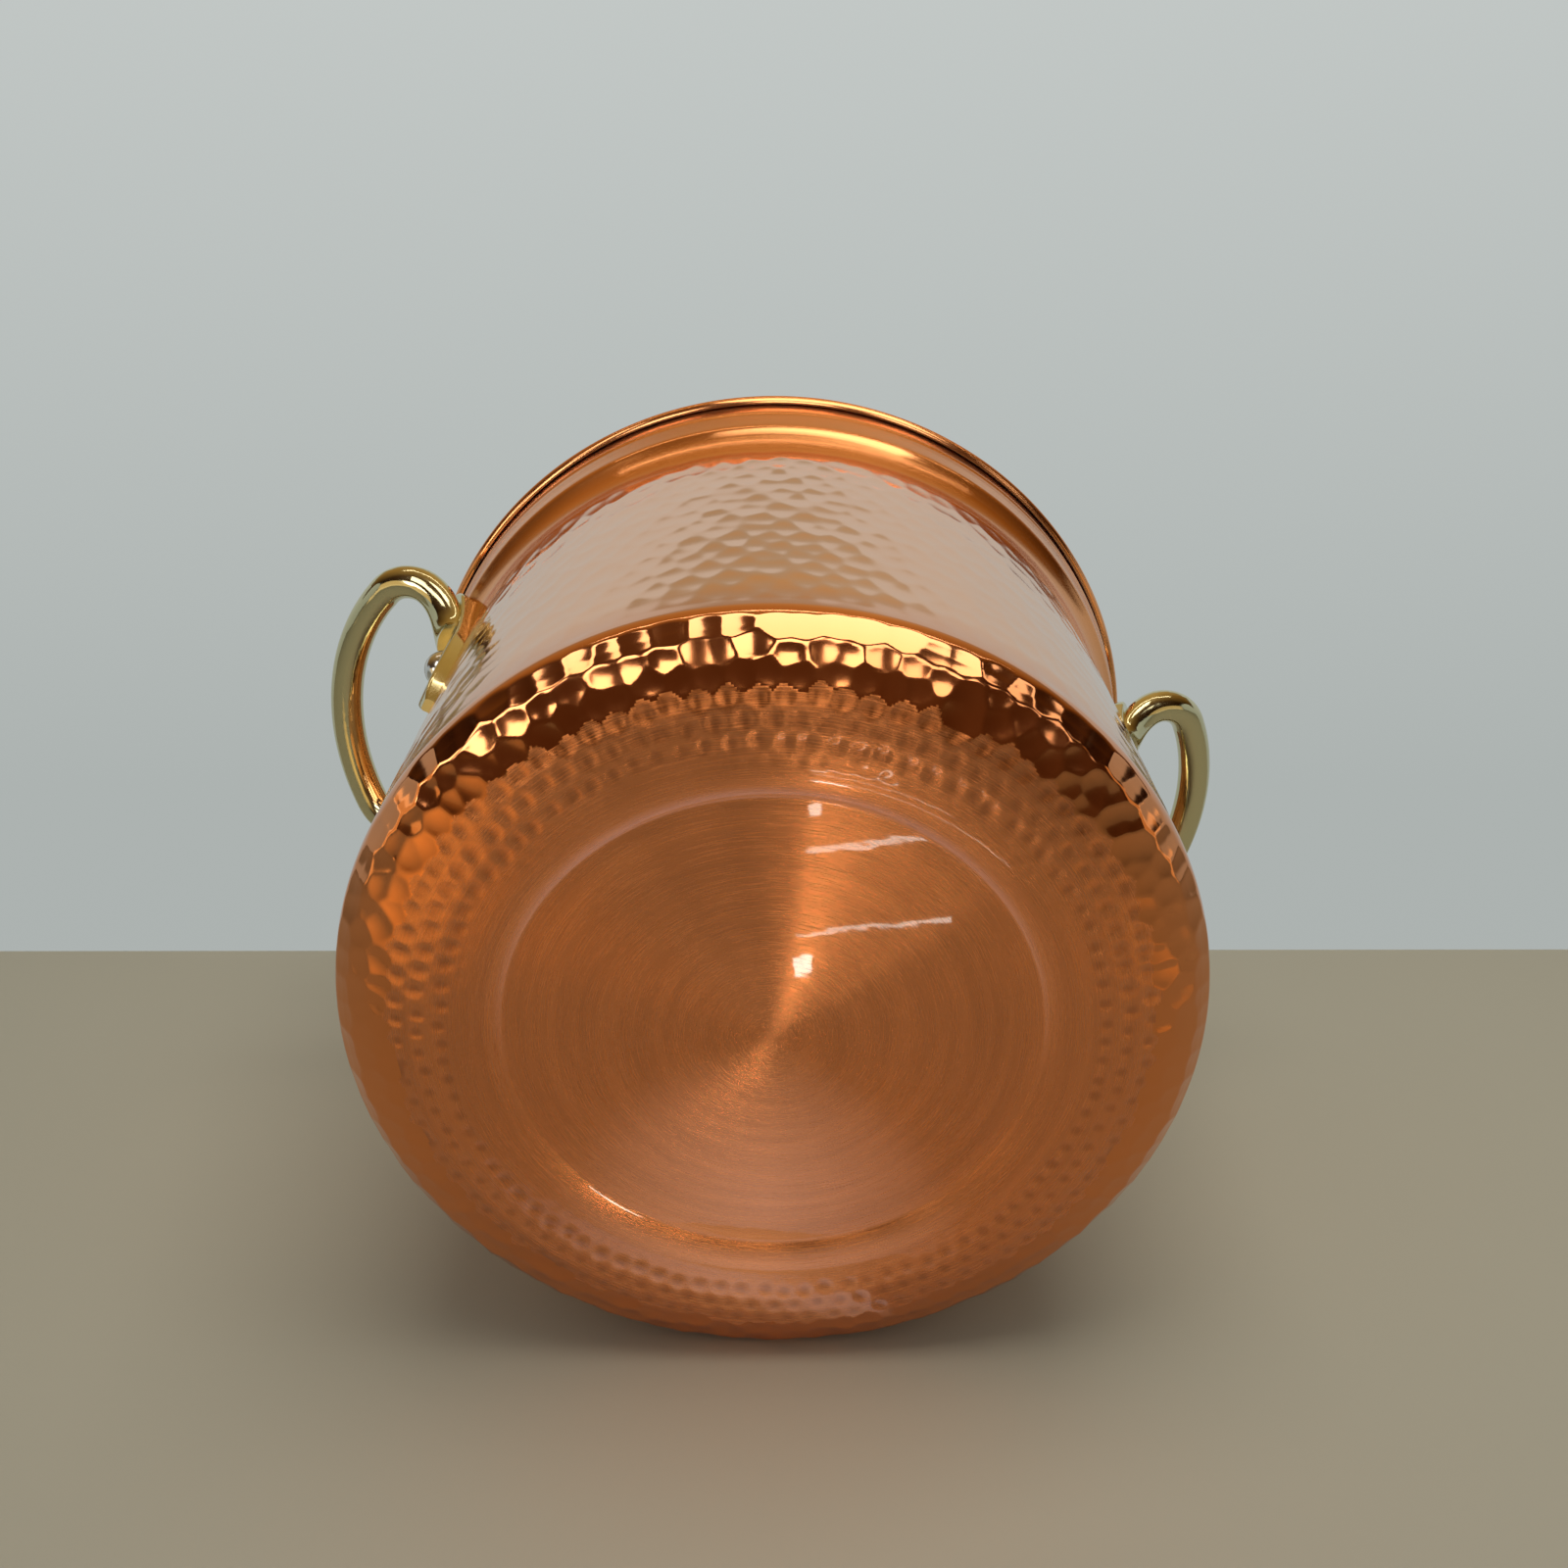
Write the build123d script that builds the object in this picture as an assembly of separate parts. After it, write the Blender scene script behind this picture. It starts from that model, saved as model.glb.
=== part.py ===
from build123d import *
import os
from math import atan, atan2, cos, degrees, radians, sin, sqrt, tan

# Two-handled copper stew pot, in millimetres. +Z is up and the origin is the centre
# of the base. The handles lie on the X axis. The pot is one spun copper sheet, tinned
# inside, its rim rolled round a wire. Each cast brass handle is held by two rivets,
# one through each leaf-shaped foot.

# Sheet metal
COPPER = 1.2  # thickness of the copper sheet
TIN = 0.25  # thickness of the tin lining

# Overall size
POT_HEIGHT = 179.0  # floor to the top of the rim bead
WALL_RADIUS = 110.0  # outer radius where the wall leaves the base corner
WALL_LEAN = 0.45  # degrees by which the wall leans inwards

# Base, from the corner inwards
KNUCKLE_RADIUS = 9.0  # tight outer bend into the wall
HEEL_RADIUS = 48.0  # gentle bend that lifts the edge of the base
HEEL_TURN = 27.0  # degrees turned by the heel
STANDING_WIDTH = 6.8  # flat ring that the pot stands on
RING_WIDTH = 9.7  # rolled ring that falls away to the disc
DISC_DEPTH = 2.4  # how far the turned disc is set in

# Neck, from the wall upwards
COVE_RADIUS = 17.5  # hollow bend where the wall turns outwards
COVE_TURN = 42.0  # degrees
RIDGE_RADIUS = 3.2  # round ridge above the cove
COLLAR_FLARE = 6.0  # degrees by which the collar leans outwards
COLLAR_WIDTH = 8.6
STEP_RADIUS = 2.4  # bends of the small step under the lip
STEP_TURN = 22.0  # degrees
LIP_WIDTH = 8.2  # upright lip under the bead

# Rim bead
WIRE_DIAMETER = 1.0
WIRE_CLEARANCE = 0.3  # between the wire and the sheet rolled round it
CURL_TURN = 270.0  # degrees of sheet round the wire

# Handle bar, laid out on a plane that rises away from the wall
BAR_RISE = 22.0  # degrees by which that plane rises
BAR_DROP = 29.5  # rim top down to that plane at the wall
GRIP_REACH = 37.0  # middle of the grip beyond the wall
BEND_SPREAD = 29.5  # middle of the handle to the centre of each end bend
BEND_REACH = 13.0  # centre of each end bend beyond the wall
BEND_RADIUS = 14.5  # centreline radius of each end bend
BAR_THICKNESS = 10.4

# Roots, where the bar turns down and sinks into its feet
ROOT_DROP = 45.0  # rim top down to the end of the bar
ROOT_REACH = 3.0  # end of the bar's centreline beyond the wall
ROOT_LEAN = 8.0  # degrees by which the end of the bar leans into the wall
ROOT_PULL = 10.0  # how far each end of the root holds its direction
ROOT_WIDTH = 13.0  # bar across the foot
ROOT_THICKNESS = 7.0  # bar through the foot
ROOT_STEPS = 5  # lengths of loft along each root

# Handle feet, each a leaf with its tail down the wall
FOOT_ANGLE = 17.6  # degrees from the middle of the handle to each foot
FOOT_WIDTH = 19.0
FOOT_TOP_DROP = 19.5  # rim top down to the head of the leaf
FOOT_LENGTH = 70.0
TAIL_LENGTH = 34.0  # part of that length that narrows to the tail
TAIL_WIDTH = 4.0  # blunt end of the tail
FOOT_THICKNESS = 4.1
TAIL_THICKNESS = 2.5
TAIL_RISE = 10.0  # height over which the tail thickens
SHOULDER_RISE = 34.0  # tip of the tail up to where the foot starts to swell
HEAD_THICKNESS = 3.4  # beyond the lip, at the head of the leaf
FOOT_EDGE_RADIUS = 1.0

# Rivets
RIVET_HEIGHT = 26.0  # from the tip of the tail
SHANK_DIAMETER = 5.0
SHANK_CLEARANCE = 0.05  # between the shank and its hole
HEAD_DIAMETER = 10.4
HEAD_HEIGHT = 3.3
TAIL_HEAD_DIAMETER = 9.6
TAIL_HEAD_HEIGHT = 1.7
HEAD_SEAT = 0.05  # between each head and what it closes on

# Sheet outline, worked out from the sizes above
QUARTER_TURN = 90.0
CURL_RADIUS = WIRE_DIAMETER / 2 + WIRE_CLEARANCE
WALL_HEADING = QUARTER_TURN + WALL_LEAN
KNUCKLE_TURN = WALL_HEADING - HEEL_TURN
RING_TURN = 2 * degrees(atan(DISC_DEPTH / RING_WIDTH))
RING_RADIUS = (DISC_DEPTH**2 + RING_WIDTH**2) / (2 * DISC_DEPTH)
BEAD_RADIUS = CURL_RADIUS + COPPER


def straight(length):
    """A straight run of the sheet's outline."""
    return length, None, 0.0


def bend(radius, turn):
    """A bend of the sheet's outline, positive to the left, seen on its outer skin."""
    return 0.0, radius, turn


def trace(start, heading, runs, inset=0.0):
    """Edges of the skin that lies `inset` to the left of the outer skin."""
    point = Vector(*start) + Vector(0, inset).rotate(Axis.Z, heading)
    edges = []
    for length, radius, turn in runs:
        if radius is None:
            direction = Vector(1, 0).rotate(Axis.Z, heading)
            edges.append(Line(point, point + direction * length))
        else:
            skin_radius = radius - inset if turn > 0 else radius + inset
            if skin_radius > 0:
                direction = Vector(1, 0).rotate(Axis.Z, heading)
                edges.append(JernArc(point, direction, skin_radius, turn))
        point = edges[-1] @ 1
        heading += turn
    return edges


def extent(heading, runs):
    """How far a run of outline reaches out and up."""
    return trace((0, 0), heading, runs)[-1] @ 1


base_runs = [bend(0.0, -RING_TURN), bend(RING_RADIUS, RING_TURN), straight(STANDING_WIDTH)]
corner_runs = [bend(HEEL_RADIUS, HEEL_TURN), bend(KNUCKLE_RADIUS, KNUCKLE_TURN)]
neck_runs = [
    bend(COVE_RADIUS, -COVE_TURN),
    bend(RIDGE_RADIUS, COVE_TURN - WALL_LEAN - COLLAR_FLARE),
    straight(COLLAR_WIDTH),
    bend(STEP_RADIUS, -STEP_TURN),
    bend(STEP_RADIUS, STEP_TURN + COLLAR_FLARE),
    straight(LIP_WIDTH),
]
curl_runs = [bend(CURL_RADIUS, -CURL_TURN)]

corner_extent = extent(0.0, corner_runs)
neck_extent = extent(WALL_HEADING, neck_runs)
STANDING_RADIUS = WALL_RADIUS - corner_extent.X
DISC_RADIUS = STANDING_RADIUS - STANDING_WIDTH - RING_WIDTH
WALL_FOOT = corner_extent.Y
WALL_TOP = POT_HEIGHT - BEAD_RADIUS - neck_extent.Y
WALL_LENGTH = (WALL_TOP - WALL_FOOT) / cos(radians(WALL_LEAN))
NECK_RADIUS = WALL_RADIUS - WALL_LENGTH * sin(radians(WALL_LEAN))
LIP_RADIUS = NECK_RADIUS + neck_extent.X

sheet_runs = [straight(DISC_RADIUS), *base_runs, *corner_runs, straight(WALL_LENGTH), *neck_runs]

# Levels on the handles, worked out from the sizes above
FOOT_TOP = POT_HEIGHT - FOOT_TOP_DROP
FOOT_TIP = FOOT_TOP - FOOT_LENGTH
SHOULDER = FOOT_TIP + SHOULDER_RISE
RIVET_LEVEL = FOOT_TIP + RIVET_HEIGHT


def wall_radius(level):
    """Outer radius of the wall at a height."""
    return WALL_RADIUS - (level - WALL_FOOT) * tan(radians(WALL_LEAN))


def closed_face(curves):
    """The flat face inside a closed chain of curves."""
    return make_face(Wire([edge for curve in curves for edge in curve.edges()]))


def spin(curves):
    """The solid turned from a closed outline drawn as radius and height."""
    return revolve(Plane.XZ * closed_face(curves), Axis.Z)


def between_skins(runs, outer, inner):
    """The layer of a sheet between two insets from its outer skin."""
    start = (0.0, DISC_DEPTH)
    outside = trace(start, 0.0, runs, outer)
    inside = trace(start, 0.0, runs, inner)
    ends = Line(outside[-1] @ 1, inside[-1] @ 1)
    axis = Line(inside[0] @ 0, outside[0] @ 0)
    return spin([*outside, ends, *inside, axis])


def around(angle, shape):
    """A shape moved round the pot's axis."""
    return Rot(0, 0, angle) * shape


def rivet_places():
    """Angle round the pot of each rivet, by name."""
    return {
        "right_front": -FOOT_ANGLE,
        "right_back": FOOT_ANGLE,
        "left_front": 180 + FOOT_ANGLE,
        "left_back": 180 - FOOT_ANGLE,
    }


def rivet_holes():
    """The four holes through everything the rivets hold."""
    reach = FOOT_THICKNESS + COPPER + TIN + HEAD_DIAMETER
    hole = Cylinder(SHANK_DIAMETER / 2 + SHANK_CLEARANCE, 2 * reach)
    hole = Pos(wall_radius(RIVET_LEVEL), 0, RIVET_LEVEL) * Rot(0, 90, 0) * hole
    return [around(angle, hole) for angle in rivet_places().values()]


def make_pot_body():
    """The copper sheet, from the centre of the disc to the end of the curl."""
    return between_skins(sheet_runs + curl_runs, 0.0, COPPER) - rivet_holes()


def make_tin_lining():
    """The tin inside, which stops where the rim starts to roll over."""
    return between_skins(sheet_runs, COPPER, COPPER + TIN) - rivet_holes()


def make_rim_wire():
    """The wire inside the bead."""
    centre = Pos(LIP_RADIUS + CURL_RADIUS, POT_HEIGHT - BEAD_RADIUS)
    return revolve(Plane.XZ * centre * Circle(WIRE_DIAMETER / 2), Axis.Z)


def pot_envelope():
    """Everything inside the outer skin, up to the rim."""
    skin = trace((0.0, DISC_DEPTH), 0.0, sheet_runs)
    rim = skin[-1] @ 1
    lid = Line(rim, (0, rim.Y))
    axis = Line((0, rim.Y), (0, DISC_DEPTH))
    return spin([*skin, lid, axis])


def foot_side():
    """The foot's outline seen from its side, turned round the pot as a ring."""
    inside = wall_radius(FOOT_TIP) - FOOT_THICKNESS
    head_radius = LIP_RADIUS + HEAD_THICKNESS
    tail_top = FOOT_TIP + TAIL_RISE
    tip = Vector(wall_radius(FOOT_TIP) + TAIL_THICKNESS, FOOT_TIP)
    full = Vector(wall_radius(tail_top) + FOOT_THICKNESS, tail_top)
    waist = Vector(wall_radius(SHOULDER) + FOOT_THICKNESS, SHOULDER)
    flank = Line(full, waist)
    tail = TangentArc(full, tip, tangent=(flank % 0) * -1)
    shoulder = TangentArc(waist, (head_radius, FOOT_TOP), tangent=flank % 1)
    back = Polyline((head_radius, FOOT_TOP), (inside, FOOT_TOP), (inside, FOOT_TIP), tip)
    return spin([tail, flank, shoulder, back])


def leaf():
    """The foot's outline seen from the front, run through towards the pot's axis."""
    half = FOOT_WIDTH / 2
    tail = TAIL_WIDTH / 2
    waist = FOOT_TIP + TAIL_LENGTH
    shoulder = FOOT_TOP - half
    end = Line((-tail, FOOT_TIP), (tail, FOOT_TIP))
    right_taper = TangentArc((half, waist), (tail, FOOT_TIP), tangent=(0, -1))
    left_taper = TangentArc((-half, waist), (-tail, FOOT_TIP), tangent=(0, -1))
    right_side = Line((half, waist), (half, shoulder))
    left_side = Line((-half, waist), (-half, shoulder))
    head = ThreePointArc((half, shoulder), (0, FOOT_TOP), (-half, shoulder))
    face = closed_face([end, right_taper, right_side, head, left_side, left_taper])
    depth = LIP_RADIUS + FOOT_THICKNESS
    return extrude(Plane.YZ * face, amount=2 * depth)


def make_foot():
    """One foot, its outer edges eased, before the pot is cut from its back."""
    foot = leaf() & foot_side()
    outline = foot.edges().filter_by(GeomType.BSPLINE)
    outer = outline.filter_by(lambda edge: (edge @ 0.5).X > WALL_RADIUS)
    return fillet(outer, FOOT_EDGE_RADIUS)


def bar_plane():
    """The plane of the bar: X away from the wall, Y along the grip."""
    level = Plane(origin=(WALL_RADIUS, 0, POT_HEIGHT - BAR_DROP))
    return level.rotated((0, -BAR_RISE, 0))


def bar_centreline():
    """Half the bar's centreline: grip arc, end bend, and root down into the +Y foot."""
    rise = GRIP_REACH - BEND_REACH
    grip_radius = (BEND_SPREAD**2 + rise**2 - BEND_RADIUS**2) / (2 * (rise - BEND_RADIUS))
    end_turn = degrees(atan2(grip_radius - rise, BEND_SPREAD))
    grip = JernArc((GRIP_REACH, 0), (0, 1), grip_radius, QUARTER_TURN - end_turn)
    end = JernArc(grip @ 1, grip % 1, BEND_RADIUS, end_turn)
    grip, end = (bar_plane() * arc for arc in (grip, end))
    foot = Vector(WALL_RADIUS + ROOT_REACH, 0, POT_HEIGHT - ROOT_DROP).rotate(Axis.Z, FOOT_ANGLE)
    sinking = Vector(0, 0, -1).rotate(Axis.Y, ROOT_LEAN).rotate(Axis.Z, FOOT_ANGLE)
    holds = ((end @ 1) + (end % 1) * ROOT_PULL, foot - sinking * ROOT_PULL)
    return grip, end, Bezier(end @ 1, *holds, foot)


def between(first, last, share):
    """A size part of the way from one value to another, eased at both ends."""
    return first + (last - first) * share * share * (3 - 2 * share)


def make_root(centreline):
    """The bar's end, lofted from its round section to the flat one in the foot."""
    sections = []
    for step in range(ROOT_STEPS + 1):
        share = step / ROOT_STEPS
        heading = centreline % share
        section = Plane(centreline @ share, x_dir=heading.cross(bar_plane().z_dir), z_dir=heading)
        width = between(BAR_THICKNESS, ROOT_WIDTH, share)
        thickness = between(BAR_THICKNESS, ROOT_THICKNESS, share)
        sections.append(section * Ellipse(width / 2, thickness / 2))
    return loft(sections)


def make_bar():
    """The round bar and its two roots."""
    grip, end, root = bar_centreline()
    section = Plane(grip @ 0, z_dir=grip % 0) * Circle(BAR_THICKNESS / 2)
    half = sweep(section, path=Wire([grip.edge(), end.edge()])) + make_root(root)
    return half + mirror(half, about=Plane.XZ)


def make_handle():
    """One brass casting on +X: the bar and its two feet, seated on the pot."""
    feet = [around(angle, make_foot()) for angle in (-FOOT_ANGLE, FOOT_ANGLE)]
    casting = make_bar() + feet
    return casting - pot_envelope() - rivet_holes()


def make_rivet():
    """One rivet at angle 0: domed head outside, shank, flatter head inside."""
    outside = wall_radius(RIVET_LEVEL) + FOOT_THICKNESS + HEAD_SEAT
    inside_radius = wall_radius(RIVET_LEVEL) - COPPER - TIN
    inside = sqrt(inside_radius**2 - (TAIL_HEAD_DIAMETER / 2) ** 2) - HEAD_SEAT
    shank = SHANK_DIAMETER / 2
    head = HEAD_DIAMETER / 2
    tail_head = TAIL_HEAD_DIAMETER / 2
    outline = [
        Line((inside - TAIL_HEAD_HEIGHT, 0), (outside + HEAD_HEIGHT, 0)),
        TangentArc((outside + HEAD_HEIGHT, 0), (outside, head), tangent=(0, 1)),
        Polyline((outside, head), (outside, shank), (inside, shank), (inside, tail_head)),
        TangentArc((inside - TAIL_HEAD_HEIGHT, 0), (inside, tail_head), tangent=(0, 1)),
    ]
    rivet = revolve(closed_face(outline), Axis.X)
    return Pos(0, 0, RIVET_LEVEL) * rivet


def make_parts():
    """Every piece of the pot, by name."""
    handle = make_handle()
    rivet = make_rivet()
    parts = {
        "pot_body": make_pot_body(),
        "tin_lining": make_tin_lining(),
        "rim_wire": make_rim_wire(),
        "handle_right": handle,
        "handle_left": around(180, handle),
    }
    for name, angle in rivet_places().items():
        parts["rivet_" + name] = around(angle, rivet)
    return parts


def main():
    os.makedirs("parts", exist_ok=True)
    for name, shape in make_parts().items():
        export_step(shape, f"parts/{name}.step")


main()
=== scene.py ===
from math import cos, radians, sin

import bpy
import numpy as np
from mathutils import Matrix, Vector


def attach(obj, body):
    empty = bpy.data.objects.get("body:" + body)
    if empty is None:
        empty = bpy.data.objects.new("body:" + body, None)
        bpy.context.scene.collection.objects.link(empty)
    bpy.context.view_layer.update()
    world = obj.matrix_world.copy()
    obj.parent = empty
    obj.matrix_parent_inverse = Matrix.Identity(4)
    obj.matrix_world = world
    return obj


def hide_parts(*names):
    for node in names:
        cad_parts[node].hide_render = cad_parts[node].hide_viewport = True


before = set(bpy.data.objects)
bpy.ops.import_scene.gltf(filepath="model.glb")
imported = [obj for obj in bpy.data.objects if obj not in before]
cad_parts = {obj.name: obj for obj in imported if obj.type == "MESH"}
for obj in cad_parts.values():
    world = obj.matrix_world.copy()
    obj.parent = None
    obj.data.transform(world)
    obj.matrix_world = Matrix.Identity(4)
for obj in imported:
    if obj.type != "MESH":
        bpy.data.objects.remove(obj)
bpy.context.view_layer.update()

bl_info = {
    "name": "Two-handled copper stew pot",
    "version": (1, 0, 0),
    "blender": (4, 5, 0),
    "location": "3D View > Sidebar > Stew Pot",
    "description": "Builds the hammered copper, tin, brass and rivets round the packed pot",
    "category": "Object",
}

MM = 0.001

# Thickness of the copper sheet and of the tin inside it, and the wall's radius, in mm.
COPPER = 1.2
TIN = 0.25
WALL_RADIUS = 110.0

# Outer skin of the sheet, from the centre of the base to the top of the lip. Each run has
# a length in mm, or a radius and the degrees it turns to the left, and the mm between its
# rings of points. The set-in disc comes first, then the rolled ring round it.
DISC_DEPTH = 2.4
RING_KINK = -27.8
HEEL_RADIUS = 48.0
KNUCKLE_RADIUS = 9.0
SHEET_RUNS = (
    ("disc", 66.3, None, 0.0, 3.0),
    ("disc_edge", 0.5, None, 0.0, 0.5),
    ("ring", 0.0, 20.8, 27.8, 0.8),
    ("standing", 6.8, None, 0.0, 0.7),
    ("heel", 0.0, HEEL_RADIUS, 27.0, 0.6),
    ("knuckle", 0.0, KNUCKLE_RADIUS, 63.45, 0.45),
    ("wall", 131.28, None, 0.0, 0.9),
    ("cove", 0.0, 17.5, -42.0, 0.9),
    ("ridge", 0.0, 3.2, 35.55, 0.33),
    ("collar", 8.6, None, 0.0, 1.2),
    ("step_out", 0.0, 2.4, -22.0, 0.3),
    ("step_in", 0.0, 2.4, 28.0, 0.3),
    ("lip", 8.2, None, 0.0, 1.6),
)
CURL_RADIUS = 0.8
CURL_TURN = 270.0
CURL_SPACING = 0.3

# Hammer marks: rows of them at these distances in mm along the outer skin. The brushing
# ends mark by mark near EDGE_ROW.
BASE_ROWS = (77.9, 82.6, 88.1, 93.6)
CORNER_ROWS = (98.9, 103.6, 109.3)
EDGE_ROW = 96.2
EDGE_REACH = 2.2
WALL_START = 126.0
WALL_TOP = 240.0
WALL_END = 250.0
STRUCK_FROM, STRUCK_TO = 74.0, 256.0
SPUN_FROM = 243.0

# A strike in mm: half its width along the skin, how dished it is, how deep its border lies
# and how much it leans. The wall's half width is a share of its pitch. The row next to the
# ring is fainter, and the marks of the corner and the wall are wider round the pot.
BASE_STRIKE = (2.1, 0.034, 0.0, 0.02)
CORNER_STRIKE = (2.75, 0.012, 0.05, 0.045)
WALL_STRIKE = (0.47, 0.0048, 0.03, 0.012)
FIRST_ROW_SHARE = 0.5
ROW_SPACING = 0.93
STRIKE_WIDENING = 0.35
BORDER_SHARE = 0.8

# How unevenly the hammer fell: round the pot as a share of the pitch, along it as a share
# of the half width, and in depth in mm.
STRIKE_SEED = 41
BASE_JITTER, WALL_JITTER = 0.10, 0.34
ROUND_SHARE, ALONG_SHARE = 0.5, 0.6
DEPTH_JITTER = 0.006

# The wall's first and last marks follow waves, in mm. No mark is struck beyond them.
LOW_WAVE, LOW_WAVES, LOW_MARGIN = 3.0, 5, 4.0
HIGH_WAVES = ((3.0, 3, 1.0), (2.0, 7, 2.5), (1.0, 17, 0.0))
UNSTRUCK = -1.0

# How sharp the ridges between the marks are, and how far a mark reaches in mm.
SHARPNESS = 26.0
STRIKE_REACH = 13.0

# The mean depth in mm that the marks take at each distance, given back to the sheet.
LIFT_AT = (74.0, 80.0, 96.0, 103.0, 109.0, 114.0, 120.0, 128.0, 236.0, 248.0)
LIFT = (0.0, 0.02, 0.06, 0.14, 0.34, 0.12, 0.0, 0.10, 0.10, 0.0)

# Edges that bend by more degrees than this shade as corners.
CREASE_ANGLE = 50.0


def linear(hex_colour):
    """An sRGB hex colour as linear red, green, blue and alpha."""
    values = [int(hex_colour[i : i + 2], 16) / 255 for i in (1, 3, 5)]
    return (*[v / 12.92 if v < 0.04045 else ((v + 0.055) / 1.055) ** 2.4 for v in values], 1.0)


class PotSizes(bpy.types.PropertyGroup):
    """Sizes of the hammer marks and the mesh."""

    strikes_round: bpy.props.IntProperty(
        name="Strikes round the base",
        description="Hammer marks in one row round the base and its corner",
        default=90,
        min=30,
    )
    wall_strike: bpy.props.FloatProperty(
        name="Wall strike",
        description="Width of one hammer mark on the wall",
        default=8.4 * MM,
        min=4 * MM,
        unit="LENGTH",
        subtype="DISTANCE",
    )
    columns: bpy.props.IntProperty(
        name="Columns",
        description="Points in one ring round the wall; a multiple of sixteen",
        default=1008,
        min=64,
    )
    depth: bpy.props.FloatProperty(
        name="Depth of the marks",
        description="1 is the depth that the hammer left on the real pot",
        default=1.0,
        min=0.0,
        max=2.0,
        subtype="FACTOR",
    )


class PotFinishes(bpy.types.PropertyGroup):
    """Colours of the metals and of the studio."""

    polished_copper: bpy.props.FloatVectorProperty(
        name="Polished copper",
        description="Colour of the hammered wall",
        default=linear("#F3BC95"),
        size=4,
        subtype="COLOR",
    )
    spun_copper: bpy.props.FloatVectorProperty(
        name="Spun copper",
        description="Colour of the neck and the rim",
        default=linear("#EEA46C"),
        size=4,
        subtype="COLOR",
    )
    brushed_copper: bpy.props.FloatVectorProperty(
        name="Brushed copper",
        description="Colour of the brushed base under its lacquer",
        default=linear("#DC8449"),
        size=4,
        subtype="COLOR",
    )
    tin: bpy.props.FloatVectorProperty(
        name="Tin",
        description="Colour of the lining",
        default=linear("#D4D2CC"),
        size=4,
        subtype="COLOR",
    )
    brass: bpy.props.FloatVectorProperty(
        name="Brass",
        description="Colour of the cast handles",
        default=linear("#CFC79F"),
        size=4,
        subtype="COLOR",
    )
    rivet: bpy.props.FloatVectorProperty(
        name="Rivets",
        description="Colour of the tinned rivet heads",
        default=linear("#DAD9D6"),
        size=4,
        subtype="COLOR",
    )
    floor: bpy.props.FloatVectorProperty(
        name="Floor",
        description="Colour of the plain floor",
        default=linear("#EAE8E2"),
        size=4,
        subtype="COLOR",
    )
    side_board: bpy.props.FloatVectorProperty(
        name="Side board",
        description="Colour of the board that the pot lies on for the camera",
        default=linear("#C2BBA8"),
        size=4,
        subtype="COLOR",
    )


def add_object(name, data):
    """Adds an object that shows a mesh, lamp or camera."""
    obj = bpy.data.objects.new(name, data)
    bpy.context.scene.collection.objects.link(obj)
    return obj


# Outline of the sheet


def run_points(point, heading, run):
    """Distances, points and headings along one run of the outer skin, and where it leads."""
    _, length, radius, turn, spacing = run
    if radius is None:
        steps = max(1, round(length / spacing))
        along = np.arange(1, steps + 1) / steps * length
        places = point + along[:, None] * np.array((cos(heading), sin(heading)))
        headings = np.full(steps, heading)
        return along, places, headings, heading
    side = 1 if turn > 0 else -1
    length = radius * radians(abs(turn))
    steps = max(2, round(length / spacing))
    along = np.arange(1, steps + 1) / steps * length
    headings = heading + side * along / radius
    centre = point + side * radius * np.array((-sin(heading), cos(heading)))
    places = centre + side * radius * np.stack((np.sin(headings), -np.cos(headings)), axis=1)
    return along, places, headings, heading + side * length / radius


def outer_skin():
    """Distance along, radius, height, heading and name of the run for each ring."""
    point, heading, travelled = np.array((0.0, DISC_DEPTH)), 0.0, 0.0
    rows = []
    for run in SHEET_RUNS:
        along, places, headings, heading_after = run_points(point, heading, run)
        for distance, place, turned in zip(along, places, headings):
            rows.append((travelled + distance, *place, turned, run[0]))
        travelled, point = rows[-1][0], places[-1]
        heading = heading_after + (radians(RING_KINK) if run[0] == "disc_edge" else 0.0)
    return rows


def inset_ring(ring, inset):
    """A ring of the outer skin moved to the left of its heading, into the sheet."""
    distance, radius, height, heading, name = ring
    return distance, radius - inset * sin(heading), height + inset * cos(heading), heading, name


def curl_rings(inset):
    """Rings of the rolled rim, on the skin at an inset."""
    distance, radius, height, heading, _ = outer_skin()[-1]
    centre = np.array((radius + CURL_RADIUS * sin(heading), height - CURL_RADIUS * cos(heading)))
    skin_radius = CURL_RADIUS + inset
    steps = round(skin_radius * radians(CURL_TURN) / CURL_SPACING)
    rings = []
    for step in range(1, steps + 1):
        turned = heading - radians(CURL_TURN) * step / steps
        place = centre + skin_radius * np.array((-sin(turned), cos(turned)))
        rings.append((distance + step / steps, *place, turned, "curl"))
    return rings


# Hammer marks


def struck_rows(sizes):
    """Every row of hammer marks, from the base to the top of the wall.

    Each row is (distance, count, half width along, bend along, dish, border depth, tilt)."""
    rows = []
    half, dish, border, tilt = BASE_STRIKE
    for distance in BASE_ROWS:
        faint = FIRST_ROW_SHARE if distance == BASE_ROWS[0] else 1.0
        rows.append((distance, sizes.strikes_round, half * faint, 0.0, dish * faint, border, tilt))
    half, dish, border, tilt = CORNER_STRIKE
    for distance in CORNER_ROWS:
        bend = 0.5 / (KNUCKLE_RADIUS if distance == CORNER_ROWS[-1] else HEEL_RADIUS)
        rows.append((distance, sizes.strikes_round, half, bend, dish, border, tilt))
    half, dish, border, tilt = WALL_STRIKE
    pitch = sizes.wall_strike / MM
    count = round(2 * np.pi * WALL_RADIUS / pitch)
    for distance in np.arange(WALL_START, WALL_END, pitch * ROW_SPACING):
        rows.append((distance, count, pitch * half, 0.0, dish, border, tilt))
    return rows


def wall_top(turn):
    """Distance along the outer skin where the hammering of the wall ends."""
    return WALL_TOP + sum(high * np.sin(waves * turn + start) for high, waves, start in HIGH_WAVES)


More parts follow.
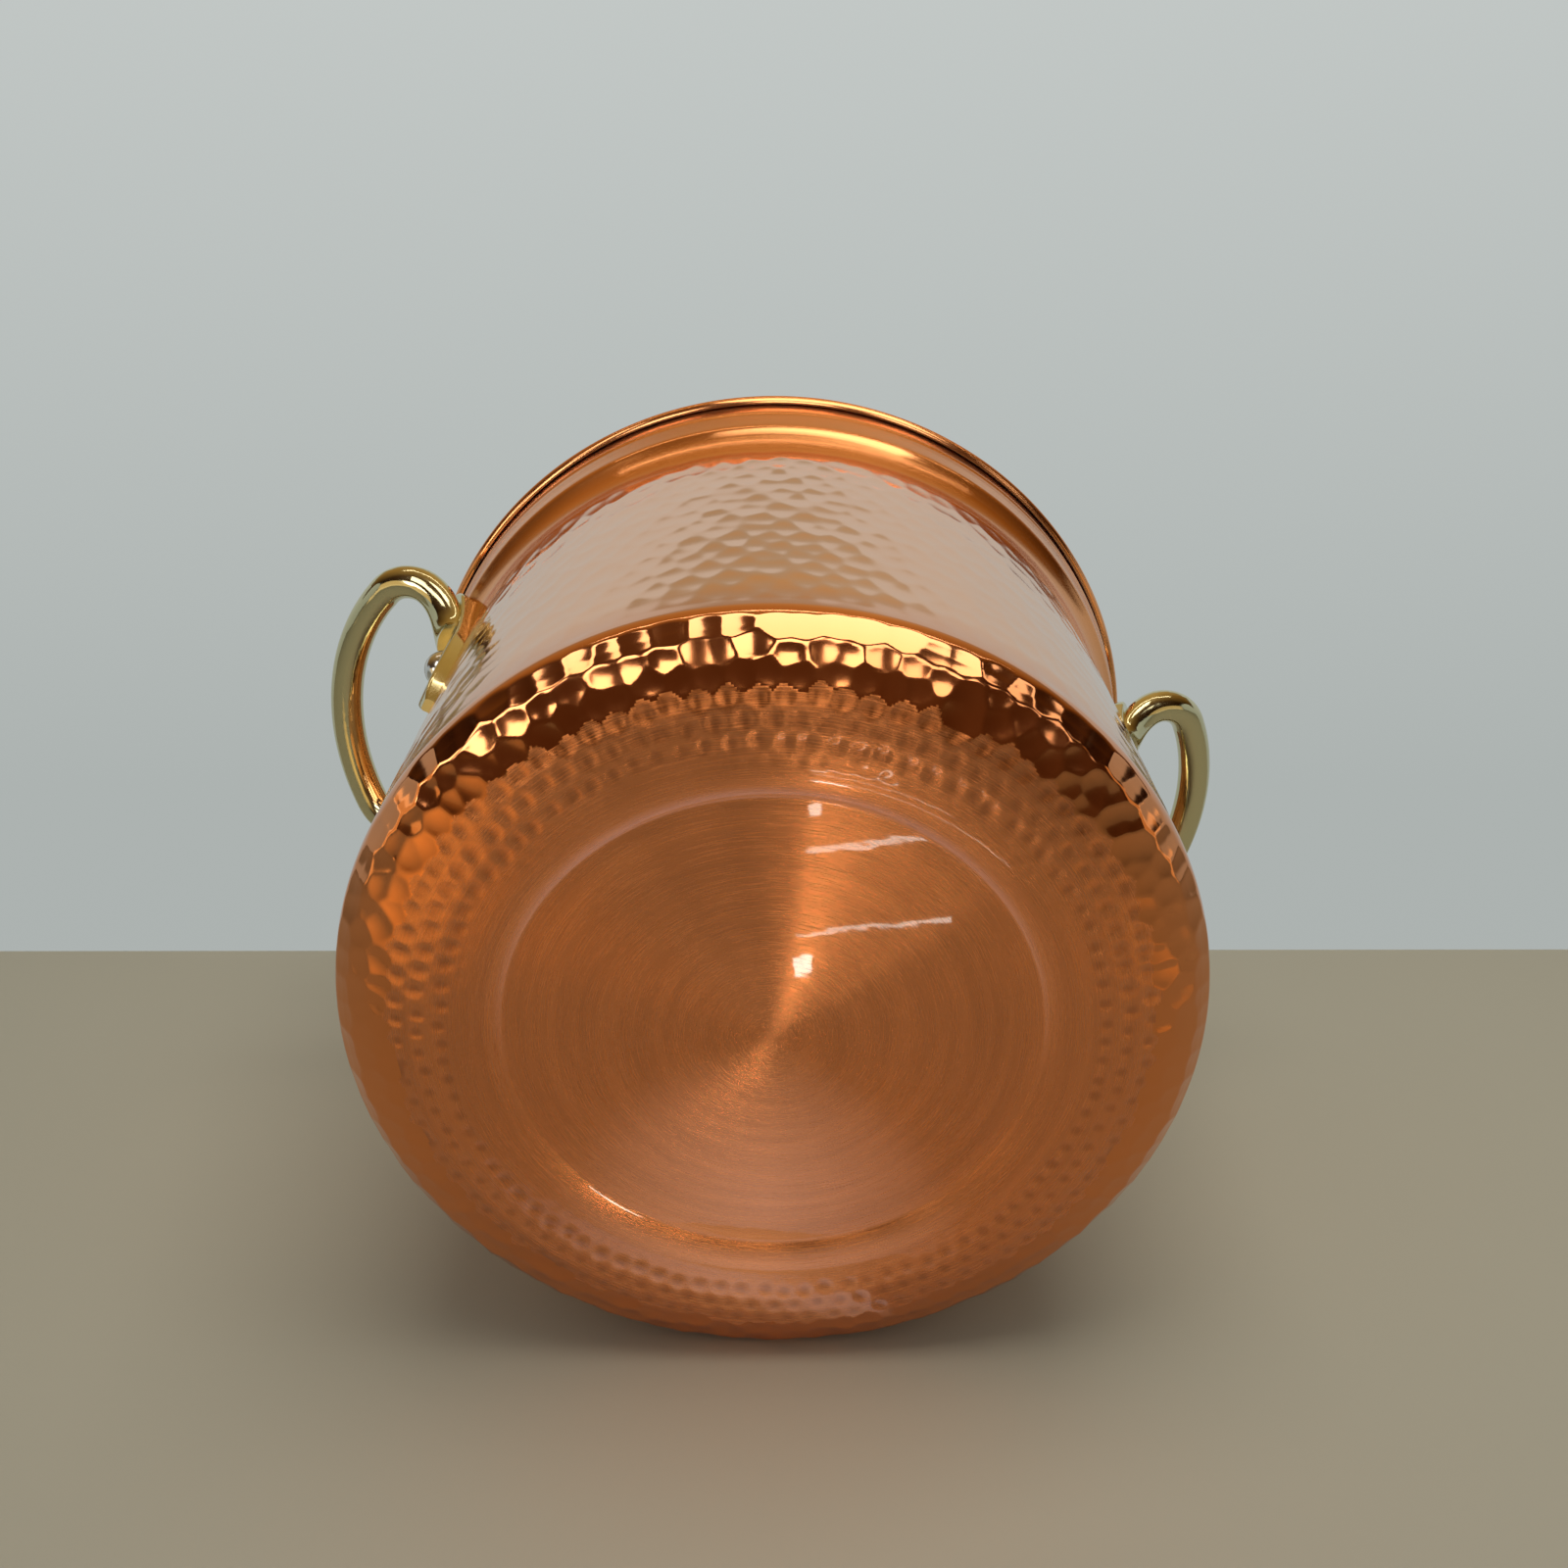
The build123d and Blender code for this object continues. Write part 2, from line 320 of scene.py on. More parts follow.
def hammer_marks(sizes):
    """Centre, depth, dish and tilt of every hammer mark, row by row."""
    chance = np.random.default_rng(STRIKE_SEED)
    rows = []
    for number, (place, count, half, bend, dish, border, tilt) in enumerate(struck_rows(sizes)):
        pitch = 2 * np.pi / count
        jitter = BASE_JITTER if place < WALL_START else WALL_JITTER
        turn = (np.arange(count) + 0.5 * (number % 2)) * pitch
        turn = turn + chance.normal(0, jitter * ROUND_SHARE, count) * pitch
        along = place + chance.normal(0, jitter * half * ALONG_SHARE, count)
        across = half + (STRIKE_WIDENING if place >= CORNER_ROWS[0] else 0.0)
        deep = border + bend * half**2 + dish * (half**2 + across**2) * BORDER_SHARE
        deep = deep + chance.normal(0, DEPTH_JITTER, count)
        lean = chance.normal(0, tilt, (count, 2))
        if place >= WALL_START:
            low = WALL_START + LOW_WAVE * np.sin(LOW_WAVES * turn) - LOW_MARGIN
            deep = np.where((along < wall_top(turn)) & (along > low), deep, UNSTRUCK)
        rows.append((along, turn, deep, lean, bend, dish, pitch))
    return rows


def hammered_depth(distance, radius, turn, marks):
    """How far in the hammered surface lies at each turn of one ring, in mm.

    It is the lowest of the smooth sheet and the dishes of the marks near by."""
    total = np.ones(len(turn))
    flat_round = 0.5 / max(radius, 1.0)
    for along, centres, deep, lean, bend, dish, pitch in marks:
        if abs(np.mean(along) - distance) > STRIKE_REACH:
            continue
        nearest = np.round((turn - centres[0]) / pitch).astype(int)
        for step in (-1, 0, 1):
            index = (nearest + step) % len(centres)
            across = (turn - centres[index] + np.pi) % (2 * np.pi) - np.pi
            across = across * radius
            away = distance - along[index]
            dished = (bend + dish) * away**2 + (flat_round + dish) * across**2
            leaning = lean[index, 0] * away + lean[index, 1] * across
            total += np.exp(-SHARPNESS * (dished + leaning - deep[index]))
    return np.log(total) / SHARPNESS


# Mesh building

# On the disc, rings nearer to the axis than so many mm have one point for so many columns.
# The cove has every column up to where the marks end.
DISC_MIDDLE, DISC_INNER = 20.0, 40.0
DISC_SHARES = ((10.0, 16), (DISC_MIDDLE, 8), (DISC_INNER, 4))
COVE_STRUCK_TO = 253.0


def round_count(ring, columns):
    """Points round a ring: fewer near the middle of the base and on the plain neck."""
    distance, radius, _, _, name = ring
    if name.startswith("disc"):
        for reach, share in DISC_SHARES:
            if radius < reach:
                return columns // share
        return columns // 2
    if name == "ring":
        return columns // 2
    if name in ("standing", "heel", "knuckle", "wall"):
        return columns
    if name == "cove":
        return columns if distance < COVE_STRUCK_TO else columns // 2
    return columns // 4


def base_struck_last(ring, count, marks):
    """Whether each point of a ring lies in a mark of the base, not of its corner."""
    distance, radius = ring[:2]
    turn = np.arange(count) * 2 * np.pi / count
    base, corner = (
        hammered_depth(distance, radius, turn, [each for each in marks if test(np.mean(each[0]))])
        for test in (lambda place: place < EDGE_ROW, lambda place: EDGE_ROW < place < WALL_START)
    )
    return base > corner


def ring_points(ring, count, marks, strength):
    """The points of one ring in metres, pushed in by the hammer marks, and how far in mm."""
    distance, radius, height, heading, _ = ring
    turn = np.arange(count) * 2 * np.pi / count
    inward = np.zeros(count)
    if marks is not None and STRUCK_FROM < distance < STRUCK_TO:
        inward = hammered_depth(distance, radius, turn, marks)
        inward = (inward - np.interp(distance, LIFT_AT, LIFT)) * strength
    reach = radius - inward * sin(heading)
    level = height + inward * cos(heading)
    points = np.stack((reach * np.cos(turn), reach * np.sin(turn), level), axis=1) * MM
    return points, inward


def bridge(first, second, low, high):
    """Faces between two rings of points that turn the same way.

    The rings have the same count, or one has twice the other's."""
    faces = []
    for j in range(min(first, second)):
        k = j + 1
        if first == second:
            faces.append((low + j, low + k % first, high + k % first, high + j))
        elif first > second:
            a, b, c = low + 2 * j, low + 2 * j + 1, low + (2 * k) % first
            d, e = high + j, high + k % second
            faces += [(a, b, d), (b, c, e), (b, e, d)]
        else:
            a, b = low + j, low + k % first
            c, d, e = high + 2 * j, high + 2 * j + 1, high + (2 * k) % second
            faces += [(a, d, c), (a, b, d), (b, e, d)]
    return faces


def turned_mesh(name, rings, counts, struck, zones):
    """A closed shell from rings of points and their depths, with a pole at each end.

    zones gives the material index of the faces after each ring, one for all or for each."""
    starts = np.concatenate(((0,), np.cumsum(counts)))
    vertices = np.concatenate([points for points, _ in struck])
    depths = np.concatenate([depth for _, depth in struck] + [np.zeros(2)])
    first_pole, last_pole = len(vertices), len(vertices) + 1
    poles = np.array(((0, 0, rings[0][2]), (0, 0, rings[-1][2]))) * MM
    vertices = np.concatenate((vertices, poles))
    faces = [(first_pole, (j + 1) % counts[0], j) for j in range(counts[0])]
    indices = [zones[0]] * counts[0]
    for i in range(len(rings) - 1):
        made = bridge(counts[i], counts[i + 1], starts[i], starts[i + 1])
        faces += made
        indices += list(np.broadcast_to(zones[i], len(made)))
    start, count = starts[-2], counts[-1]
    faces += [(start + j, start + (j + 1) % count, last_pole) for j in range(count)]
    indices += [zones[-1]] * count
    mesh = bpy.data.meshes.new(name)
    mesh.from_pydata(vertices.tolist(), [], [tuple(map(int, face)) for face in faces])
    mesh.polygons.foreach_set("use_smooth", [True] * len(faces))
    mesh.polygons.foreach_set("material_index", indices)
    layer = mesh.attributes.new("Struck depth", "FLOAT", "POINT")
    layer.data.foreach_set("value", depths.astype(np.float32))
    mesh.validate()
    mesh.update()
    mesh.set_sharp_from_angle(angle=radians(CREASE_ANGLE))
    return add_object(name, mesh)


# Materials

# A noise keeps mostly between these values.
NOISE_SPAN = (0.3, 0.7)

# Under the brush: the shades of its bands, the painted shade of the hollows it missed, the
# depths in mm between which that painted shade darkens, and how strong its lines are outside
# and inside them.
BAND_SHADES = (0.88, 1.08)
HOLLOW_PAINTED_SHADE = (0.72, 0.69, 0.66, 1.0)
HOLLOW_DEPTHS = (0.06, 0.26)
LINE_STRENGTHS = (0.35, 0.14)

# Up to this height the planished copper goes over from the base's colour to the wall's.
TONED_UP_TO = 28 * MM

# The darkest and the palest zinc on the wire.
ZINC_SHADES = (linear("#8E9092"), linear("#B5B7B9"))


def add_node(tree, kind, inputs=None, stops=None, **settings):
    """Adds a node with its settings, its colour stops and its inputs or links."""
    made = tree.nodes.new(kind)
    for name, value in settings.items():
        setattr(made, name, value)
    for place, (position, colour) in enumerate(stops or ()):
        ramp = made.color_ramp.elements
        stop = ramp[place] if place < 2 else ramp.new(position)
        stop.position, stop.color = position, colour
    for name, value in (inputs or {}).items():
        if isinstance(value, bpy.types.NodeSocket):
            tree.links.new(value, made.inputs[name])
        else:
            made.inputs[name].default_value = value
    return made


def shaded(colour, share):
    """A colour made darker or paler by a share."""
    return (*[min(1.0, value * share) for value in colour[:3]], 1.0)


def new_surface(name, coordinates="Object"):
    """An empty node material, its tree and the coordinates of each place."""
    material = bpy.data.materials.new(name)
    material.use_nodes = True
    tree = material.node_tree
    tree.nodes.clear()
    return material, tree, add_node(tree, "ShaderNodeTexCoord").outputs[coordinates]


def close_material(tree, shader):
    """Joins a shader to the material's output."""
    add_node(tree, "ShaderNodeOutputMaterial", {"Surface": shader.outputs[0]})


def close_metal(material, inputs):
    """Makes a material a metal with these inputs, and returns it."""
    tree = material.node_tree
    close_material(tree, add_node(tree, "ShaderNodeBsdfPrincipled", {"Metallic": 1.0, **inputs}))
    return material


def add_noise(tree, place, scale, detail=2.0, **inputs):
    """The value of a noise at each place."""
    inputs = {"Vector": place, "Scale": scale, "Detail": detail, **inputs}
    return add_node(tree, "ShaderNodeTexNoise", inputs).outputs["Fac"]


def add_range(tree, value, span, low=0.0, high=1.0, **settings):
    """A value that goes from low to high while the given one goes through a span."""
    inputs = {"Value": value, "From Min": span[0], "From Max": span[1]}
    inputs |= {"To Min": low, "To Max": high}
    return add_node(tree, "ShaderNodeMapRange", inputs, **settings).outputs[0]


def add_mix(tree, share, first, second, **settings):
    """A share of the way from one colour to another."""
    inputs = {0: share, 6: first, 7: second}
    return add_node(tree, "ShaderNodeMix", inputs, data_type="RGBA", **settings).outputs[2]


def add_bump(tree, height, strength, distance):
    """The way the surface faces when so many metres of relief lie on it."""
    inputs = {"Height": height, "Strength": strength, "Distance": distance}
    return add_node(tree, "ShaderNodeBump", inputs).outputs[0]


def add_ramp(tree, share, stops):
    """A colour by a share, from stops at shares with hex colours."""
    stops = [(position, linear(colour)) for position, colour in stops]
    return add_node(tree, "ShaderNodeValToRGB", {"Fac": share}, stops).outputs[0]


def add_vector(tree, operation, inputs):
    """The results of one calculation with vectors."""
    return add_node(tree, "ShaderNodeVectorMath", inputs, operation=operation).outputs


def stretched(tree, place, scale):
    """Coordinates with a scale for each axis."""
    return add_node(tree, "ShaderNodeMapping", {"Vector": place, "Scale": scale}).outputs[0]


def round_the_pot(tree, place, round_scale, out_scale):
    """Coordinates that change slowly round the pot and fast away from its axis."""
    flat = add_vector(tree, "MULTIPLY", {0: place, 1: (1.0, 1.0, 0.0)})[0]
    way = add_vector(tree, "NORMALIZE", {0: flat})[0]
    reach = add_vector(tree, "LENGTH", {0: flat})["Value"]
    out = add_node(tree, "ShaderNodeCombineXYZ", {"Z": reach}).outputs[0]
    way = add_vector(tree, "SCALE", {0: way, "Scale": round_scale})[0]
    out = add_vector(tree, "SCALE", {0: out, "Scale": out_scale})[0]
    return add_vector(tree, "ADD", {0: way, 1: out})[0]


def turned_grain(tree, strength):
    """Inputs of a metal whose fine lines run round the pot."""
    tangent = add_node(tree, "ShaderNodeTangent", direction_type="RADIAL", axis="Z")
    return {
        "Anisotropic": strength,
        "Anisotropic Rotation": 0.25,
        "Tangent": tangent.outputs[0],
    }


def brushed_lacquered_copper(finishes):
    """Copper sheet brushed on a turning wheel, then clear-lacquered.

    The eye gets golden fans that spread from the middle of the disc, faint arcs of brush
    lines and, over them, the small sharp glints of the lacquer. Brush lines are 0.1 mm
    apart; they are drawn three times as coarse, so that they show. The wheel misses the
    hollows of the hammer marks, so their brush lines are fainter; they are darker with
    painted shade."""
    material, tree, place = new_surface("brushed_lacquered_copper")
    lines_at = round_the_pot(tree, place, 5.0, 2600.0)
    lines = add_noise(tree, lines_at, 1.0, 3.0, Roughness=0.65)
    bands_at = round_the_pot(tree, place, 0.7, 260.0)
    bands = add_noise(tree, bands_at, 1.0, 4.0, Roughness=0.6)
    dark, pale = (shaded(finishes.brushed_copper, share) for share in BAND_SHADES)
    shade = add_mix(tree, add_range(tree, bands, NOISE_SPAN), dark, pale)
    struck = add_node(tree, "ShaderNodeAttribute", attribute_name="Struck depth").outputs["Fac"]
    hollow = add_range(tree, struck, HOLLOW_DEPTHS, interpolation_type="SMOOTHSTEP")
    # Painted shade: the colour darkens in the hollows of the hammer marks.
    shade = add_mix(tree, hollow, shade, HOLLOW_PAINTED_SHADE, blend_type="MULTIPLY")
    brushed = add_range(tree, hollow, (0.0, 1.0), *LINE_STRENGTHS)
    waves = add_noise(tree, stretched(tree, place, (60.0, 110.0, 110.0)), 1.0)
    return close_metal(
        material,
        {
            "Base Color": shade,
            "Roughness": add_range(tree, lines, NOISE_SPAN, 0.19, 0.32),
            "Normal": add_bump(tree, lines, brushed, 0.00015),
            "Coat Weight": 0.8,
            "Coat Roughness": 0.03,
            "Coat Normal": add_bump(tree, waves, 0.13, 0.0004),
            **turned_grain(tree, 0.96),
        },
    )


def planished_copper(finishes):
    """Copper planished with a polished hammer and left bright.

    The eye gets near-mirror facets, each with faint rub marks and a slight haze."""
    material, tree, place = new_surface("planished_copper")
    haze = add_noise(tree, place, 70.0, 4.0)
    height = add_node(tree, "ShaderNodeSeparateXYZ", {0: place}).outputs["Z"]
    toned = add_range(tree, height, (0.0, TONED_UP_TO))
    rub = add_noise(tree, stretched(tree, place, (500.0, 500.0, 2600.0)), 1.0)
    return close_metal(
        material,
        {
            "Base Color": add_mix(tree, toned, finishes.brushed_copper, finishes.polished_copper),
            "Roughness": add_range(tree, haze, NOISE_SPAN, 0.07, 0.13),
            "Normal": add_bump(tree, rub, 0.12, 0.00003),
        },
    )


def spun_copper(finishes):
    """Copper turned on a lathe: the neck and the rolled rim.

    The eye gets highlights drawn up and down across fine turning lines round the pot."""
    material, tree, place = new_surface("spun_copper")
    lines_at = stretched(tree, place, (6.0, 6.0, 1100.0))
    lines = add_noise(tree, lines_at, 1.0, 3.0, Roughness=0.7)
    return close_metal(
        material,
        {
            "Base Color": finishes.spun_copper,
            "Roughness": add_range(tree, lines, NOISE_SPAN, 0.09, 0.25),
            "Normal": add_bump(tree, lines, 0.12, 0.0001),
            **turned_grain(tree, 0.9),
        },
    )


def wiped_tin(finishes):
    """Tin wiped on hot by hand. The eye gets a soft grey-white metal with broad swirls."""
    material, tree, place = new_surface("wiped_tin")
    swirls = add_noise(tree, place, 35.0, 5.0, Distortion=1.2)
    return close_metal(
        material,
        {
            "Base Color": finishes.tin,
            "Roughness": add_range(tree, swirls, NOISE_SPAN, 0.24, 0.42),
            "Normal": add_bump(tree, swirls, 0.3, 0.0003),
        },
    )


def cast_brass(finishes):
    """Brass sand-cast, then ground and polished by hand.

    The eye gets a pale gold mirror whose reflections wander a little."""
    material, tree, place = new_surface("cast_brass")
    ground = add_noise(tree, place, 90.0)
    haze = add_noise(tree, place, 240.0, 4.0)
    return close_metal(
        material,
        {
            "Base Color": finishes.brass,
            "Roughness": add_range(tree, haze, NOISE_SPAN, 0.06, 0.14),
            "Normal": add_bump(tree, ground, 0.35, 0.0006),
        },
    )


def headed_rivet(finishes):
    """Tinned rivets, upset with a hammer and a snap. The eye gets bright, lightly dented domes."""
    material, tree, place = new_surface("tinned_rivet")
    dents = add_bump(tree, add_noise(tree, place, 420.0), 0.4, 0.0002)
    return close_metal(material, {"Base Color": finishes.rivet, "Roughness": 0.16, "Normal": dents})


def drawn_wire():
    """Galvanised steel wire, drawn. The eye hardly sees it inside the rim."""
    material, tree, place = new_surface("galvanised_wire")
    zinc = add_noise(tree, place, 900.0)
    shade = add_mix(tree, zinc, *ZINC_SHADES)
    return close_metal(material, {"Base Color": shade, "Roughness": 0.4})


def dress(obj, *materials):
    """Gives an object these materials in place of its own."""
    while len(obj.data.materials) < len(materials):
        obj.data.materials.append(materials[0])
    for slot, material in zip(obj.material_slots, materials):
        slot.link = "OBJECT"
        slot.material = material


# Pieces

BASE_ZONE, WALL_ZONE, NECK_ZONE = 0, 1, 2

# How deep the marks show through the sheet on its inside, as a share.
GHOST_SHARE = 0.45


def thinned(rings, share):
    """One ring in so many, but every ring of the lip and the ridge."""
    return [ring for i, ring in enumerate(rings) if i % share == 0 or ring[4] in ("lip", "ridge")]


def shell_zone(ring):
    """Material index of the faces that start at a ring of the outer skin."""
    distance = ring[0]
    if distance < EDGE_ROW:
        return BASE_ZONE
    return WALL_ZONE if distance < SPUN_FROM else NECK_ZONE


def build_shell(sizes):
    """The copper sheet: hammered outside, plain inside, rolled at the rim."""
    marks = hammer_marks(sizes)
    outside = outer_skin()
    curl_in, curl_out = curl_rings(0.0), curl_rings(COPPER)
    inside = [inset_ring(ring, COPPER) for ring in outside]
    inside = thinned(inside, 4)
    rings = outside + curl_in + curl_out[::-1] + inside[::-1]
    few = sizes.columns // 4
    counts, points, zones = [], [], []
    for number, ring in enumerate(rings):
        outer = number < len(outside)
        count = round_count(ring, sizes.columns) if outer else few
        if not outer and ring[4].startswith("disc"):
            count = sizes.columns // (16 if ring[1] < DISC_MIDDLE else 8)
        counts.append(count)
        points.append(ring_points(ring, count, marks if outer else None, sizes.depth))
        zone = shell_zone(ring) if outer else NECK_ZONE
        if outer and abs(ring[0] - EDGE_ROW) < EDGE_REACH:
            zone = np.where(base_struck_last(ring, count, marks), BASE_ZONE, WALL_ZONE)
        zones.append(zone)
    return turned_mesh("copper_shell", rings, counts, points, zones)


def build_lining(sizes):
    """The tin: the ghost of the hammer marks inside, a plain back against the copper."""
    marks = hammer_marks(sizes)
    outside = outer_skin()
    front = [inset_ring(ring, COPPER + TIN) for ring in outside]
    back = [inset_ring(ring, COPPER) for ring in outside]
    back, front = thinned(back, 4), thinned(front, 2)
    rings = back + front[::-1]
    counts, points = [], []
    for number, ring in enumerate(rings):
        inner = number >= len(back)
        count = sizes.columns // (2 if inner else 4)
        if ring[4].startswith("disc"):
            share = 16 if ring[1] < DISC_MIDDLE else 8 if ring[1] < DISC_INNER else 4
            count = sizes.columns // share
        counts.append(count)
        depth = GHOST_SHARE * sizes.depth
        points.append(ring_points(ring, count, marks if inner else None, depth))
    return turned_mesh("tin_skin", rings, counts, points, [0] * len(rings))


class POT_OT_shell(bpy.types.Operator):
    """Build the hammered copper shell in place of the plain one"""

    bl_idname = "stew_pot.shell"
    bl_label = "Copper shell"

    def execute(self, context):
        sizes, finishes = context.scene.pot_sizes, context.scene.pot_finishes
        shell = build_shell(sizes)
        dress(
            shell,
            brushed_lacquered_copper(finishes),
            planished_copper(finishes),
            spun_copper(finishes),
        )
        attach(shell, "root")
        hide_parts("pot_body")
        return {"FINISHED"}


class POT_OT_lining(bpy.types.Operator):
    """Build the tin lining with the ghost of the hammer marks"""

    bl_idname = "stew_pot.lining"
    bl_label = "Tin lining"

    def execute(self, context):
        sizes, finishes = context.scene.pot_sizes, context.scene.pot_finishes
        lining = build_lining(sizes)
        dress(lining, wiped_tin(finishes))
        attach(lining, "root")
        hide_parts("tin_lining")
        return {"FINISHED"}


class POT_OT_handles(bpy.types.Operator):
    """Finish the cast handles, their rivets and the wire in the rim"""

    bl_idname = "stew_pot.handles"
    bl_label = "Handles, rivets and wire"

    def execute(self, context):
        finishes = context.scene.pot_finishes
        brass, tinned, wire = cast_brass(finishes), headed_rivet(finishes), drawn_wire()
        for name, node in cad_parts.items():
            if name.startswith("handle"):
                dress(node, brass)
            elif name.startswith("rivet"):
                dress(node, tinned)
            elif name == "rim_wire":
                dress(node, wire)
        return {"FINISHED"}


# Studio

# The camera stands below the pot and in front of it, as the photographer did.
CAMERA_PLACE = Vector((-38.02, -228.62, -316.60)) * MM
CAMERA_RIGHT = Vector((0.98463, -0.17460, -0.00393))
CAMERA_UP = Vector((-0.15405, -0.87890, 0.45144))
CAMERA_YAW = 0.0025
SENSOR_MM = 36.0
CLIP_START = 0.01

# For that camera the pot lies on its side: a pale board touches its corner and its rim.
# The board reaches so many metres from the corner towards the camera, away from it, and to
# either side.
SIDE_TURN = 80.0
CORNER_TOUCH = Vector((110.4, 0.0, 14.0))
RIM_TOUCH = Vector((118.4, 0.0, 177.0))
BOARD_NEAR, BOARD_FAR, BOARD_WIDE = 1.5, 0.215, 1.8
FLOOR_REACH = 3.0

# The middle of the pot, which the lamps face.
POT_MIDDLE = Vector((0.0, 0.0, 0.09))


def camera_axes():
    """Right, up and back of the camera, turned by its small yaw."""
    right, up = CAMERA_RIGHT.normalized(), CAMERA_UP.normalized()
    back = right.cross(up).normalized()
    up = back.cross(right)
    turned = Matrix.Rotation(CAMERA_YAW, 3, up)
    return turned @ right, up, turned @ back


def one_sided(name, colour):
    """Matt pale board, seen from its front only, so that no view is blocked by its back."""
    material, tree, place = new_surface(name)
    grain = add_noise(tree, place, 6.0)
    shade = add_mix(tree, grain, shaded(colour, 0.96), tuple(colour))
    matt = add_node(tree, "ShaderNodeBsdfDiffuse", {"Color": shade})
    clear = add_node(tree, "ShaderNodeBsdfTransparent")
    back = add_node(tree, "ShaderNodeNewGeometry").outputs["Backfacing"]
    sides = {0: back, 1: matt.outputs[0], 2: clear.outputs[0]}
    close_material(tree, add_node(tree, "ShaderNodeMixShader", sides))
    return material


def board(name, corners, material, mirrored):
    """A flat board through four corners, front face by their order.

    A mirrored one is seen by the metal too."""
    mesh = bpy.data.meshes.new(name)
    mesh.from_pydata([tuple(corner) for corner in corners], [], [(0, 1, 2, 3)])
    mesh.materials.append(material)
    obj = add_object(name, mesh)
    obj.visible_glossy = mirrored
    obj.visible_diffuse = obj.visible_shadow = False
    return obj


def build_boards(finishes):
    """The floor under the upright pot, and the board it lies on for the camera."""
    floor = one_sided("pale_floor", finishes.floor)
    reach = FLOOR_REACH
    corners = [(-reach, -reach, 0), (reach, -reach, 0), (reach, reach, 0), (-reach, reach, 0)]
    board("floor", corners, floor, False)
    turn = Matrix.Rotation(radians(SIDE_TURN), 3, "Z")
    touch, rim = turn @ CORNER_TOUCH * MM, turn @ RIM_TOUCH * MM
    along = (rim - touch).normalized()
    aside = turn @ Vector((0, 1, 0)) * BOARD_WIDE
    low, high = touch - along * BOARD_NEAR, touch + along * BOARD_FAR
    corners = [low - aside, high - aside, high + aside, low + aside]
    board("side_board", corners, one_sided("pale_board", finishes.side_board), True)


# Shades of the world from below to above, and its share of light on matt surfaces.
WORLD_SHADES = ((0.0, "#A8ADAB"), (0.5, "#ADB3B1"), (0.85, "#CDD2D0"))
WORLD_ON_MATT = 0.45


def light_world():
    """A plain pale room, a little brighter overhead, seen alike by the camera and the metal."""
    world = bpy.data.worlds.new("studio")
    bpy.context.scene.world = world
    world.use_nodes = True
    tree = world.node_tree
    tree.nodes.clear()
    way = add_node(tree, "ShaderNodeTexCoord").outputs["Generated"]
    up = camera_axes()[1]
    rise = add_vector(tree, "DOT_PRODUCT", {0: way, 1: up})["Value"]
    pale = add_ramp(tree, add_range(tree, rise, (-1.0, 1.0)), WORLD_SHADES)
    path = add_node(tree, "ShaderNodeLightPath").outputs
    seen = path["Is Camera Ray"]
    for kind in ("Is Glossy Ray", "Is Transmission Ray"):
        seen = add_node(tree, "ShaderNodeMath", {0: seen, 1: path[kind]}, operation="MAXIMUM")
        seen = seen.outputs[0]
    strength = add_range(tree, seen, (0.0, 1.0), WORLD_ON_MATT, 1.0)
    light = add_node(tree, "ShaderNodeBackground", {"Color": pale, "Strength": strength})
    add_node(tree, "ShaderNodeOutputWorld", {"Surface": light.outputs[0]})


def studio_way(up_degrees, right_degrees):
    """Direction at an angle above the camera's line of sight and to its right."""
    right, up, back = camera_axes()
    a, b = radians(up_degrees), radians(right_degrees)
    return (back * cos(a) + up * sin(a)) * cos(b) + right * sin(b)


# The card behind the camera: its degrees above the line of sight and to either side, its
# distance in metres and its rows and columns of faces. Its shades go by degrees upwards
# and are toned by shares of its width.
ROOM_LOW, ROOM_HIGH, ROOM_SIDE = -31.0, 134.5, 74.0
ROOM_DISTANCE = 2.2
ROOM_ROWS, ROOM_COLUMNS = 34, 24
ROOM_SHADES = (
    (-31.0, "#6B5A48"),
    (-20.0, "#5E4630"),
    (10.0, "#5A4430"),
    (50.0, "#6A5036"),
    (72.0, "#A98A58"),
    (104.0, "#C29C5C"),
    (124.0, "#CBAA70"),
    (134.5, "#B5B3A4"),
)
ROOM_TONES = (
    (0.0, "#5A4A38"),
    (0.22, "#D8D0C4"),
    (0.6, "#FFFFFF"),
    (0.82, "#B2A48C"),
    (1.0, "#564837"),
)


def build_room():
    """The dim warm room behind the camera, as a curved card that only the metal sees."""
    rows, columns = ROOM_ROWS, ROOM_COLUMNS
    points, faces, uvs = [], [], []
    for i in range(rows + 1):
        for j in range(columns + 1):
            rise = ROOM_LOW + (ROOM_HIGH - ROOM_LOW) * i / rows
            across = ROOM_SIDE * (2 * j / columns - 1)
            points.append(tuple(POT_MIDDLE + studio_way(rise, across) * ROOM_DISTANCE))
            uvs.append((j / columns, i / rows))
    for i in range(rows):
        for j in range(columns):
            k = i * (columns + 1) + j
            faces.append((k, k + 1, k + columns + 2, k + columns + 1))
    mesh = bpy.data.meshes.new("room_card")
    mesh.from_pydata(points, [], faces)
    layer = mesh.uv_layers.new(name="Card")
    flat = [value for face in faces for corner in face for value in uvs[corner]]
    layer.data.foreach_set("uv", flat)
    material, tree, place = new_surface("room_card", "UV")
    place = add_node(tree, "ShaderNodeSeparateXYZ", {0: place}).outputs
    span = ROOM_HIGH - ROOM_LOW
    shades = [((rise - ROOM_LOW) / span, colour) for rise, colour in ROOM_SHADES]
    shade, tone = add_ramp(tree, place["Y"], shades), add_ramp(tree, place["X"], ROOM_TONES)
    colour = add_mix(tree, 1.0, shade, tone, blend_type="MULTIPLY")
    close_material(tree, add_node(tree, "ShaderNodeEmission", {"Color": colour}))
    material.cycles.emission_sampling = "NONE"
    mesh.materials.append(material)
    card = add_object("room_card", mesh)
    card.visible_camera = card.visible_diffuse = card.visible_shadow = False


